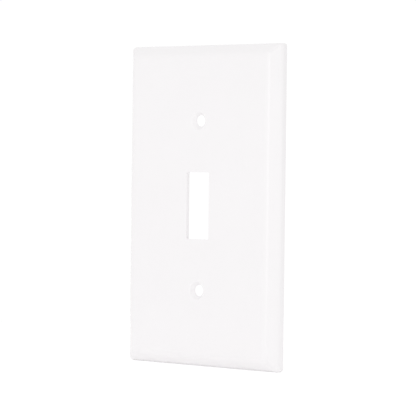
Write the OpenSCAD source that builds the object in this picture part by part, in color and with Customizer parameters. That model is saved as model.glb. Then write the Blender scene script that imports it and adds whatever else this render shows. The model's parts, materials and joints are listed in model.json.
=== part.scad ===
// Wall plate cover for one toggle switch: a single white moulding with a bevelled edge,
// two countersunk screw holes, an opening for the toggle and a hollow, ribbed back.
// The front faces -Y, the rim lies on the wall at Y = 0, and the origin is the middle of
// the plate on that wall. Sizes are in millimetres.

/* [Plate] */
// Width over the rim
plate_w = 69.85; // [62:0.05:90]
// Height over the rim
plate_h = 114.3; // [104:0.1:140]
// Depth from the wall to the flat face
plate_d = 6.2; // [5.6:0.1:9]
// Radius of the four corners, seen from the front
corner_r = 1.2; // [0.8:0.1:3]
// Thickness of the face
face_t = 1.5; // [1.3:0.1:2.2]
// Thickness of the rim on the wall
rim_t = 2; // [1.4:0.1:3]

/* [Bevelled edge] */
// Depth of the straight side wall behind the slope
side_d = 2.75; // [2.2:0.05:3.6]
// Width of the slope, seen from the front
bevel_w = 3.7; // [3.2:0.1:6]
// Radius of the soft roll from the face into the slope
crown_r = 3.5; // [1:0.1:4]
// Radius of the roll from the slope into the side wall
edge_r = 2.6; // [0.6:0.1:3]

/* [Toggle opening] */
// Width of the opening
toggle_w = 10.3; // [9:0.1:12]
// Height of the opening
toggle_h = 23.8; // [20:0.1:26]
// Radius of the corners of the opening
toggle_r = 0.5; // [0.2:0.1:1.5]

/* [Screw holes] */
// Distance between the two holes
screw_gap = 60.325; // [56:0.005:70]
// Diameter of the hole behind the countersink
screw_d = 4; // [3.6:0.1:4.6]
// Diameter of the countersink at the face
sink_d = 6.4; // [6:0.1:8]
// Full angle of the countersink
sink_angle = 82; // [82:1:100]
// Length of straight hole left behind the countersink
land_t = 0.3; // [0.2:0.1:1.2]
// Diameter of the thickened ring behind each hole
boss_d = 10; // [9:0.1:13]

/* [Back] */
// Thickness of the stiffening ribs
rib_t = 1.2; // [0.8:0.1:1.6]
// Height of the stiffening ribs off the back of the face
rib_h = 1.6; // [1:0.1:2]
// Distance from the side of the opening to the rib beside it
rib_gap = 3; // [2.6:0.1:6]
// Distance from the ends of the ribs to the slope of the hollow
rib_end_gap = 1; // [0.5:0.1:4]
// Diameter of the marks that the ejector pins leave
pin_mark_d = 5; // [3:0.1:7]
// Depth of the ejector marks
pin_mark_t = 0.2; // [0.1:0.05:0.3]
// Distance of the ejector marks from the middle, across the plate
pin_mark_x = 22; // [18:0.1:24]
// Distance of the ejector marks from the middle, up and down the plate
pin_mark_y = 42; // [36:0.1:44]

/* [Hidden] */
$fn = 96;

// Extra length that carries a cut clear of the face it breaks through
over = 1;
// Rounds stand this far proud, so that they cross the faces they run into and leave no step
hair = 0.0001;
// Inside floor of the hollow, where the back of the face is
floor_z = plate_d - face_t;
// Slope of the bevel, from the face down to the side wall
slope = atan2(plate_d - side_d, bevel_w);
// The hollow's slope runs one face thickness inside the outer slope
inner_side_d = side_d + rim_t * tan(slope) - face_t / cos(slope);
inner_bevel_w = (floor_z - inner_side_d) / tan(slope);
inner_corner_r = corner_r / 2;
// Countersink and the ring that leaves a straight land behind it
sink_t = (sink_d - screw_d) / 2 / tan(sink_angle / 2);
boss_z = plate_d - sink_t - land_t;
// Inner side of the rib beside the opening, and where the ribs end near the slope
rib_x = toggle_w / 2 + rib_gap;
rib_end_x = plate_w / 2 - rim_t - inner_bevel_w - rib_end_gap;

// Rectangle centred on the origin with round corners
module round_rect(w, h, r) {
    square([w, h - 2 * r], center = true);
    square([w - 2 * r, h], center = true);
    for (x = [-1, 1], y = [-1, 1])
        translate([x * (w / 2 - r), y * (h / 2 - r)]) circle(r);
}

// What a round of radius r takes off a corner that the outline turns by bend degrees, where
// the outline comes in along the heading: a kite from the middle of the round past the corner
module corner_waste(corner, heading, bend, r) {
    half_turn = tan(bend / 2);
    far = r + over;
    translate(corner) rotate(heading) translate([-r * half_turn, -r]) difference() {
        polygon([
            [0, 0],
            [0, far],
            [far * half_turn, far],
            [far * sin(bend), far * cos(bend)],
        ]);
        circle(r + hair);
    }
}

// Section across a slab with sloping edges: flat below, face at height d
module bevelled_section(w, d, side, bevel) {
    half = w / 2;
    polygon([
        [-half, 0],
        [half, 0],
        [half, side],
        [half - bevel, d],
        [bevel - half, d],
        [-half, side],
    ]);
}

// The same section with its slopes rolled into the face and the side walls
module rolled_section(w, d, side, bevel) {
    difference() {
        bevelled_section(w, d, side, bevel);
        for (flip = [0, 1]) mirror([flip, 0]) {
            corner_waste([w / 2 - bevel, d], 0, slope, crown_r);
            corner_waste([w / 2, side], -slope, 90 - slope, edge_r);
        }
    }
}

// Outside of the plate, lying on its back
module outer_form() {
    intersection() {
        linear_extrude(plate_d) round_rect(plate_w, plate_h, corner_r);
        rotate([90, 0, 0]) linear_extrude(plate_h, center = true)
            rolled_section(plate_w, plate_d, side_d, bevel_w);
        rotate([90, 0, 90]) linear_extrude(plate_w, center = true)
            rolled_section(plate_h, plate_d, side_d, bevel_w);
    }
}

// Hollow of the back, one wall inside the outer form
module hollow() {
    w = plate_w - 2 * rim_t;
    h = plate_h - 2 * rim_t;
    intersection() {
        translate([0, 0, -over]) linear_extrude(floor_z + over)
            round_rect(w, h, inner_corner_r);
        rotate([90, 0, 0]) linear_extrude(h, center = true)
            open_section(w);
        rotate([90, 0, 90]) linear_extrude(w, center = true)
            open_section(h);
    }
}

// Section of the hollow, carried past the wall plane so that it opens there
module open_section(w) {
    bevelled_section(w, floor_z, inner_side_d, inner_bevel_w);
    translate([-w / 2, -over]) square([w, over]);
}

// Ring that thickens the face behind a screw hole
module boss() {
    translate([0, 0, boss_z]) cylinder(h = plate_d - boss_z, d = boss_d);
}

// Countersunk hole, widest at the face
module screw_hole() {
    cylinder(h = plate_d + over, d = screw_d);
    translate([0, 0, plate_d - sink_t]) cylinder(h = sink_t, d1 = screw_d, d2 = sink_d);
    translate([0, 0, plate_d]) cylinder(h = over, d = sink_d);
}

// Ribs behind the face, a bracket on each side of the opening: an upright beside it and an
// arm from each end of the upright towards the side wall
module ribs() {
    span = screw_gap + rib_t;
    translate([0, 0, floor_z - rib_h]) linear_extrude(rib_h + face_t / 2)
        for (flip = [0, 1]) mirror([flip, 0]) {
            translate([rib_x, -span / 2]) square([rib_t, span]);
            for (y = [-1, 1])
                translate([rib_x, y * screw_gap / 2 - rib_t / 2])
                    square([rib_end_x - rib_x, rib_t]);
        }
}

// The moulding, stood up with its face towards -Y
module wall_plate() {
    color("#f6f4f5") rotate([90, 0, 0]) difference() {
        outer_form();
        difference() {
            hollow();
            ribs();
            for (y = [-1, 1]) translate([0, y * screw_gap / 2, 0]) boss();
        }
        for (y = [-1, 1]) translate([0, y * screw_gap / 2, 0]) screw_hole();
        translate([0, 0, -over]) linear_extrude(plate_d + 2 * over)
            round_rect(toggle_w, toggle_h, toggle_r);
        for (x = [-1, 1], y = [-1, 1])
            translate([x * pin_mark_x, y * pin_mark_y, floor_z - over])
                cylinder(h = over + pin_mark_t, d = pin_mark_d);
    }
}

wall_plate();
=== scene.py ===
import json
import math

import bmesh
import bpy
from mathutils import Matrix, Vector


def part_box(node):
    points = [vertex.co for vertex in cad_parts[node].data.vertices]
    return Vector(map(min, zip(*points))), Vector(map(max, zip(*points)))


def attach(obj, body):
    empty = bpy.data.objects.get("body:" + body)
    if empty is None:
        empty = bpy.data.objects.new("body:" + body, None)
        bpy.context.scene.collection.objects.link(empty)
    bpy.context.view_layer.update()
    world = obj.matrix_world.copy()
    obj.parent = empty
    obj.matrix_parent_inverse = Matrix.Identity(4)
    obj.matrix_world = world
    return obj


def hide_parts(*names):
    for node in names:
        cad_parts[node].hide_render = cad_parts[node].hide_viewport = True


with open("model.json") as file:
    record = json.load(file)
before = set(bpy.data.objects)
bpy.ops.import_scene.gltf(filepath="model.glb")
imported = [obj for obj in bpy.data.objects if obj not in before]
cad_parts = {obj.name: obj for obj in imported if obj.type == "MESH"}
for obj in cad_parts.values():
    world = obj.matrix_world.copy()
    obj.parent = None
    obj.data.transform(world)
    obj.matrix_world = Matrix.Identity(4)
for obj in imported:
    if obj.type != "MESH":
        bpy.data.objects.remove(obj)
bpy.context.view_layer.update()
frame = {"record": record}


# The shell of the plate: one moulding in white urea plastic, pressed hot in a polished steel mould.
# Its flat face rolls into a slope all round, and the slope into a straight side wall. The rim of that
# wall lies on the wall of the room, and the back is hollow. Sizes here are in millimetres.
mm = 0.001
turn = math.pi / 2
low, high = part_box("wall_plate")
plate_w, plate_d, plate_h = (high - low) / mm
corner_r = 1.2
side_d = 2.75
bevel_w = 3.7
slope = math.atan2(plate_d - side_d, bevel_w)
crown_r = 3.5
crown_reach = crown_r * math.tan(slope / 2)
crown_corner_r = 2.2
edge_r = 2.6
edge_reach = edge_r * math.tan((turn - slope) / 2)
face_t = 1.5
floor_d = plate_d - face_t
rim_t = 2.0
rim_edge_r = 0.25
hollow_side_d = side_d + rim_t * math.tan(slope) - face_t / math.cos(slope)
hollow_bevel_w = (floor_d - hollow_side_d) / math.tan(slope)
hollow_corner_r = 1.0
hollow_r = 0.8
floor_reach = hollow_r * math.tan(slope / 2)
ceiling_reach = hollow_r * math.tan((turn - slope) / 2)
corner_segments = 8
clear_corner = math.radians(30)
# Points nearer than a hair are one point. A skirt is the narrow ring of flat skin round each part, where
# the parts are joined.
hair = 0.001
skirt = 0.15


def loft(rings):
    """A surface through a row of upright rings, each given as width, height, corner radius and depth.

    Each ring starts as a unit square. The rings are bridged a millimetre apart, where a bridge can't twist,
    and then moved to their depths.
    """
    mesh = bmesh.new()
    loops = []
    for level, (width, height, radius, y) in enumerate(rings):
        corners = bmesh.ops.create_grid(mesh, x_segments=1, y_segments=1, size=0.5,
                                        matrix=Matrix.Rotation(turn, 4, "X"))["verts"]
        bmesh.ops.scale(mesh, vec=(width, 1, height), verts=corners)
        rounds = bmesh.ops.bevel(mesh, geom=corners, offset=radius, offset_type="OFFSET",
                                 segments=corner_segments, profile=0.5, affect="VERTICES", material=-1)
        sheet = rounds["verts"][0].link_faces[0]
        loops.append((sheet.edges[:], sheet.verts[:], y - level))
        bmesh.ops.translate(mesh, vec=(0, level, 0), verts=sheet.verts)
        bmesh.ops.delete(mesh, geom=[sheet], context="FACES_ONLY")
        if level > 0:
            bmesh.ops.bridge_loops(mesh, edges=loops[-2][0] + loops[-1][0])
    for _, points, shift in loops:
        bmesh.ops.translate(mesh, vec=(0, shift, 0), verts=points)
    return mesh


def lies_at(edge, y):
    """Whether an edge lies flat at the depth y."""
    return all(abs(v.co.y - y) < hair for v in edge.verts)


def sharp_edges(mesh):
    """The edges where two faces meet in a clear corner."""
    return [e for e in mesh.edges if e.is_manifold and e.calc_face_angle() > clear_corner]


def soften(mesh, edges, reach, segments):
    """Round edges off, from the distance reach on each side of them."""
    bmesh.ops.bevel(mesh, geom=edges, offset=reach, offset_type="OFFSET", segments=segments,
                    loop_slide=True, profile=0.5, affect="EDGES", material=-1)


# The rings of the shell, from the front round the rim to the back: how far inside the outline, the radius
# of the corners, and the depth.
shell_rings = (
    (bevel_w + crown_reach + skirt, crown_corner_r - crown_reach - skirt, -plate_d),
    (bevel_w, crown_corner_r, -plate_d),
    (0, corner_r, -side_d),
    (0, corner_r, 0),
    (rim_t, hollow_corner_r, 0),
    (rim_t, hollow_corner_r, -hollow_side_d),
    (rim_t + hollow_bevel_w, hollow_corner_r, -floor_d),
    (rim_t + hollow_bevel_w + floor_reach + skirt, hollow_corner_r - floor_reach - skirt, -floor_d),
)
shell = loft([(plate_w - 2 * inward, plate_h - 2 * inward, r, y) for inward, r, y in shell_rings])
# The rolls between them: the depth, the reach and the number of facets.
rolls = (
    (-plate_d, crown_reach, 10),
    (-side_d, edge_reach, 10),
    (0, rim_edge_r, 3),
    (-hollow_side_d, ceiling_reach, 4),
    (-floor_d, floor_reach, 4),
)
for y, reach, segments in rolls:
    soften(shell, [e for e in sharp_edges(shell) if lies_at(e, y)], reach, segments)


# The opening for the toggle: a straight tall slot through the face. Its lips are rounded a little,
# as the mould leaves them.
toggle_w = 10.3
toggle_h = 23.8
toggle_r = 0.5
lip_r = 0.05
lip_segments = 4
lip_w = lip_r + skirt
opening = loft([
    (toggle_w + 2 * lip_w, toggle_h + 2 * lip_w, toggle_r + lip_w, -plate_d),
    (toggle_w, toggle_h, toggle_r, -plate_d),
    (toggle_w, toggle_h, toggle_r, -floor_d),
    (toggle_w + 2 * lip_w, toggle_h + 2 * lip_w, toggle_r + lip_w, -floor_d),
])
soften(opening, sharp_edges(opening), lip_r, lip_segments)


# The two screw holes: countersunk for oval heads, with a short straight land below the cone. A low ring
# on the back thickens the plastic behind each of them. The spacing is the record's own.
holes = next(m for m in frame["record"]["mounts"] if m["name"] == "screw_holes")
screw_gap = holes["dims"]["spacing_y_mm"]
hole_r = holes["dims"]["hole_r_mm"]
sink_r = 3.2
sink_angle = math.radians(82)
sink_t = (sink_r - hole_r) / math.tan(sink_angle / 2)
land_t = 0.3
boss_r = 5.0
boss_d = plate_d - sink_t - land_t
sink_lip_r = 0.25
hole_lip_r = 0.08
hole_segments = 64


def screw_hole(z):
    """One countersunk hole with its ring, turned about its own axis from the section through one side."""
    section = (
        (sink_r + sink_lip_r + skirt, plate_d),
        (sink_r, plate_d),
        (hole_r, plate_d - sink_t),
        (hole_r, boss_d),
        (boss_r, boss_d),
        (boss_r, floor_d),
        (boss_r + hole_lip_r + skirt, floor_d),
    )
    hole = bmesh.new()
    points = [hole.verts.new((r, -d, 0)) for r, d in section]
    for a, b in zip(points, points[1:]):
        hole.edges.new((a, b))
    bmesh.ops.spin(hole, geom=hole.verts[:] + hole.edges[:], cent=(0, 0, 0), axis=(0, 1, 0),
                   angle=math.tau, steps=hole_segments, use_merge=True)
    soften(hole, [e for e in sharp_edges(hole) if lies_at(e, -plate_d)], sink_lip_r, lip_segments)
    soften(hole, sharp_edges(hole), hole_lip_r, lip_segments)
    bmesh.ops.translate(hole, vec=(0, 0, z), verts=hole.verts)
    return hole


screw_holes = [screw_hole(z) for z in (-screw_gap / 2, screw_gap / 2)]


# The ribs on the back: a bracket on each side of the opening, moulded in one with the face to keep it
# flat. Each has an upright beside the opening, two arms level with the screw holes, and a little draft.
rib_t = 1.2
rib_h = 1.6
rib_gap = 3.0
rib_end_gap = 1.0
rib_draft = 0.06
rib_edge_r = 0.2
rib_edge_segments = 3
rib_x = toggle_w / 2 + rib_gap
rib_end_x = plate_w / 2 - rim_t - hollow_bevel_w - rib_end_gap


def bracket(side):
    """One bracket of ribs, to the right of the opening (side 1) or to its left (side -1)."""
    foot = rib_edge_r + skirt
    top = screw_gap / 2 + rib_t / 2 + foot
    arm = top - rib_t - 2 * foot
    inner = rib_x - foot
    upright = rib_x + rib_t + foot
    end = rib_end_x + foot
    outline = ((inner, -top), (end, -top), (end, -arm), (upright, -arm),
               (upright, arm), (end, arm), (end, top), (inner, top))
    ribs = bmesh.new()
    base = ribs.faces.new([ribs.verts.new((x, -floor_d, z)) for x, z in outline])
    base.normal_update()
    if base.normal.y < 0:
        base.normal_flip()
    bmesh.ops.inset_region(ribs, faces=[base], thickness=foot, use_boundary=True, use_even_offset=True)
    bmesh.ops.inset_region(ribs, faces=[base], thickness=rib_draft, depth=rib_h, use_even_offset=True)
    soften(ribs, sharp_edges(ribs), rib_edge_r, rib_edge_segments)
    bmesh.ops.scale(ribs, vec=(side, 1, 1), verts=ribs.verts)
    return ribs


brackets = [bracket(side) for side in (-1, 1)]


# The marks of the four ejector pins that pushed the plate out of its mould: flat round dents in the
# back of the face, near its corners.
mark_r = 2.5
mark_t = 0.2
mark_x = 22.0
mark_z = 42.0
mark_edge = 0.08
mark_segments = 48


def pin_mark(x, z):
    """One ejector mark, with a ring of the flat back round it."""
    mark = bmesh.new()
    bmesh.ops.create_circle(mark, cap_ends=True, segments=mark_segments, radius=mark_r + skirt,
                            matrix=Matrix.Rotation(-turn, 4, "X"))
    disc = mark.faces[:][0]
    bmesh.ops.inset_region(mark, faces=[disc], thickness=skirt, use_boundary=True, use_even_offset=True)
    bmesh.ops.inset_region(mark, faces=[disc], thickness=mark_edge, depth=-mark_t, use_even_offset=True)
    bmesh.ops.translate(mark, vec=(x, -floor_d, z), verts=mark.verts)
    return mark


pin_marks = [pin_mark(x, z) for x in (-mark_x, mark_x) for z in (-mark_z, mark_z)]


# The whole moulding: the parts above lie in two planes, the front and the back of the face, and one
# flat skin in each plane joins their rims. The plate is then a single closed solid, in metres, polished
# outside and matt in the hollow.
polished, matt = 0, 1
crease = math.radians(35)
plate = bmesh.new()
for part in (shell, opening, *screw_holes, *brackets, *pin_marks):
    loose = bpy.data.meshes.new("loose")
    part.to_mesh(loose)
    part.free()
    plate.from_mesh(loose)
    bpy.data.meshes.remove(loose)
for y in (-plate_d, -floor_d):
    rims = [e for e in plate.edges if e.is_boundary and lies_at(e, y)]
    bmesh.ops.triangle_fill(plate, edges=rims, use_beauty=True, normal=(0, y, 0))
bmesh.ops.remove_doubles(plate, verts=plate.verts, dist=hair)
bmesh.ops.recalc_face_normals(plate, faces=plate.faces)
for face in plate.faces:
    x, y, z = face.calc_center_median()
    in_rim = abs(x) < plate_w / 2 - rim_t + hair and abs(z) < plate_h / 2 - rim_t + hair
    face.material_index = matt if in_rim and y > -floor_d - mark_t - hair else polished
bmesh.ops.scale(plate, vec=(mm, mm, mm), verts=plate.verts)
mesh = bpy.data.meshes.new("wall_plate_cover")
plate.to_mesh(mesh)
plate.free()
mesh.shade_smooth()
mesh.set_sharp_from_angle(angle=crease)
wall_plate_cover = bpy.data.objects.new("wall_plate_cover", mesh)
bpy.context.scene.collection.objects.link(wall_plate_cover)


# White urea plastic, moulded against polished steel: a clean, faintly warm white with a soft gloss.
# Close up the gloss breaks up a little, because the skin of the moulding is never quite flat.
def linear(code):
    """The linear colour of an sRGB hex value."""
    parts = [int(code[i:i + 2], 16) / 255 for i in (1, 3, 5)]
    return [c / 12.92 if c <= 0.04045 else ((c + 0.055) / 1.055) ** 2.4 for c in parts] + [1.0]


def node(tree, kind, settings, links):
    """Add a node, set its properties and sockets, and link its sockets to the sockets given."""
    made = tree.nodes.new(kind)
    for name, value in settings.items():
        if isinstance(name, str) and hasattr(made, name):
            setattr(made, name, value)
        else:
            made.inputs[name].default_value = value
    for name, source in links.items():
        tree.links.new(source, made.inputs[name])
    return made


# The colour sockets of a Mix node go by number, because their names repeat.
colour_a, colour_b, colour_out = 6, 7, 2
urea_ior = 1.5
peel_size = 1.4 * mm
cloud_size = 14 * mm
plastic = bpy.data.materials.new("white_urea_plastic")
plastic.use_nodes = True
tree = plastic.node_tree
shader = tree.nodes["Principled BSDF"]
shader.inputs["IOR"].default_value = urea_ior
place = node(tree, "ShaderNodeTexCoord", {}, {})
peel = node(tree, "ShaderNodeTexNoise", {"Scale": 1 / peel_size, "Detail": 2.0, "Roughness": 0.4},
            {"Vector": place.outputs["Object"]})
clouds = node(tree, "ShaderNodeTexNoise", {"Scale": 1 / cloud_size, "Detail": 3.0},
              {"Vector": place.outputs["Object"]})
tint = node(tree, "ShaderNodeMix",
            {"data_type": "RGBA", colour_a: linear("#f5f3f4"), colour_b: linear("#f7f5f6")},
            {"Factor": clouds.outputs["Fac"]})
gloss = node(tree, "ShaderNodeMapRange", {"To Min": 0.18, "To Max": 0.26},
             {"Value": clouds.outputs["Fac"]})
skin = node(tree, "ShaderNodeBump", {"Strength": 0.15, "Distance": 0.02 * mm},
            {"Height": peel.outputs["Fac"]})
tree.links.new(tint.outputs[colour_out], shader.inputs["Base Color"])
tree.links.new(gloss.outputs["Result"], shader.inputs["Roughness"])
tree.links.new(skin.outputs["Normal"], shader.inputs["Normal"])
mesh.materials.append(plastic)


# The same plastic inside the hollow, where the mould is blasted and not polished: a dull, even white with
# a fine grain. The grain of a blasted mould is about 0.1 mm, and is drawn three times coarser to show.
grit_size = 0.3 * mm
flow_size = 9 * mm
blasted = bpy.data.materials.new("matt_urea_plastic")
blasted.use_nodes = True
tree = blasted.node_tree
shader = tree.nodes["Principled BSDF"]
shader.inputs["IOR"].default_value = urea_ior
place = node(tree, "ShaderNodeTexCoord", {}, {})
grit = node(tree, "ShaderNodeTexNoise", {"Scale": 1 / grit_size, "Detail": 2.0},
            {"Vector": place.outputs["Object"]})
flow = node(tree, "ShaderNodeTexNoise", {"Scale": 1 / flow_size, "Detail": 4.0, "Distortion": 1.2},
            {"Vector": place.outputs["Object"]})
tint = node(tree, "ShaderNodeMix",
            {"data_type": "RGBA", colour_a: linear("#f0eeef"), colour_b: linear("#f5f3f4")},
            {"Factor": flow.outputs["Fac"]})
dull = node(tree, "ShaderNodeMapRange", {"To Min": 0.46, "To Max": 0.62},
            {"Value": flow.outputs["Fac"]})
grain = node(tree, "ShaderNodeBump", {"Strength": 0.3, "Distance": 0.03 * mm},
             {"Height": grit.outputs["Fac"]})
tree.links.new(tint.outputs[colour_out], shader.inputs["Base Color"])
tree.links.new(dull.outputs["Result"], shader.inputs["Roughness"])
tree.links.new(grain.outputs["Normal"], shader.inputs["Normal"])
mesh.materials.append(blasted)

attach(wall_plate_cover, "root")
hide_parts("wall_plate")


# The floor that the plate stands on: a square sheet of matt white acrylic with a little light from below.
# It shows as white to the camera, and still takes the soft shadow of the plate where they touch.
def strength(tree, cast, mirrored, shown):
    """What a white surface gives off: as light on the plate, in gloss and glass, and straight to view."""
    path = node(tree, "ShaderNodeLightPath", {}, {})
    bounced = node(tree, "ShaderNodeMath", {"operation": "ADD"},
                   {0: path.outputs["Is Glossy Ray"], 1: path.outputs["Is Transmission Ray"]})
    unseen = node(tree, "ShaderNodeMapRange", {"To Min": cast, "To Max": mirrored},
                  {"Value": bounced.outputs[0]})
    level = node(tree, "ShaderNodeMix", {"B": shown},
                 {"Factor": path.outputs["Is Camera Ray"], "A": unseen.outputs["Result"]})
    return level.outputs["Result"]


acrylic = bpy.data.materials.new("matt_white_acrylic")
acrylic.use_nodes = True
tree = acrylic.node_tree
tree.nodes.remove(tree.nodes["Principled BSDF"])
dull_face = node(tree, "ShaderNodeBsdfDiffuse", {"Color": linear("#f2f2f2")}, {})
glow = node(tree, "ShaderNodeEmission", {},
            {"Strength": strength(tree, cast=0.19, mirrored=0.4, shown=0.3)})
lit_sheet = node(tree, "ShaderNodeAddShader", {}, {0: dull_face.outputs[0], 1: glow.outputs[0]})
tree.links.new(lit_sheet.outputs[0], tree.nodes["Material Output"].inputs["Surface"])
sheet_half = 0.2
sheet = bmesh.new()
bmesh.ops.create_grid(sheet, x_segments=1, y_segments=1, size=sheet_half)
bmesh.ops.translate(sheet, vec=(0, 0, low.z), verts=sheet.verts)
sheet_mesh = bpy.data.meshes.new("floor")
sheet.to_mesh(sheet_mesh)
sheet.free()
sheet_mesh.materials.append(acrylic)
floor = bpy.data.objects.new("floor", sheet_mesh)
bpy.context.scene.collection.objects.link(floor)


# The light: an even white studio all round, and large soft panels that face the plate. The two in front
# draw the bright line along the roll of the face. Their sizes are in metres.
world = bpy.data.worlds.new("studio")
world.use_nodes = True
bpy.context.scene.world = world
tree = world.node_tree
tree.links.new(strength(tree, cast=0.827, mirrored=1.02, shown=1.02),
               tree.nodes["Background"].inputs["Strength"])
tree.nodes["Background"].inputs["Color"].default_value = linear("#ffffff")


def heading(azimuth, elevation):
    """The direction from the plate, in degrees round to its right from the front, and up."""
    a, e = math.radians(azimuth), math.radians(elevation)
    return Vector((math.sin(a) * math.cos(e), -math.cos(a) * math.cos(e), math.sin(e)))


panel_distance = 2.0


def panel(name, azimuth, elevation, width, height, watts):
    """A soft panel that looks at the plate."""
    lamp = bpy.data.objects.new(name, bpy.data.lights.new(name, "AREA"))
    lamp.data.shape = "RECTANGLE"
    lamp.data.size = width
    lamp.data.size_y = height
    lamp.data.energy = watts
    back = heading(azimuth, elevation)
    facing = back.to_track_quat("Z", "Y").to_matrix().to_4x4()
    lamp.matrix_world = Matrix.Translation(back * panel_distance) @ facing
    bpy.context.scene.collection.objects.link(lamp)


panel("front_panel", azimuth=16, elevation=0, width=0.7, height=1.6, watts=2.4)
panel("key_panel", azimuth=25, elevation=0, width=0.7, height=1.4, watts=1.2)
panel("right_panel", azimuth=90, elevation=0, width=2.0, height=1.4, watts=2.2)
panel("upper_panel", azimuth=8, elevation=44, width=1.2, height=0.7, watts=3.4)


# The camera: a long lens at the photograph's angle, to the right of the plate's face and just above its
# middle, turned a little about its own axis.
aim = Vector((-0.33, 0, -0.83)) * mm
camera_azimuth = 40.365
camera_elevation = 1.25
camera_distance = 835.4 * mm
camera_roll = math.radians(0.69)
back = heading(camera_azimuth, camera_elevation)
camera = bpy.data.objects.new("camera", bpy.data.cameras.new("camera"))
camera.data.lens = 202.58
camera.data.sensor_width = 36
facing = back.to_track_quat("Z", "Y").to_matrix().to_4x4()
camera.matrix_world = (Matrix.Translation(aim + back * camera_distance) @ facing
                       @ Matrix.Rotation(camera_roll, 4, "Z"))
bpy.context.scene.collection.objects.link(camera)
bpy.context.scene.camera = camera
bpy.context.scene.view_settings.view_transform = "Standard"
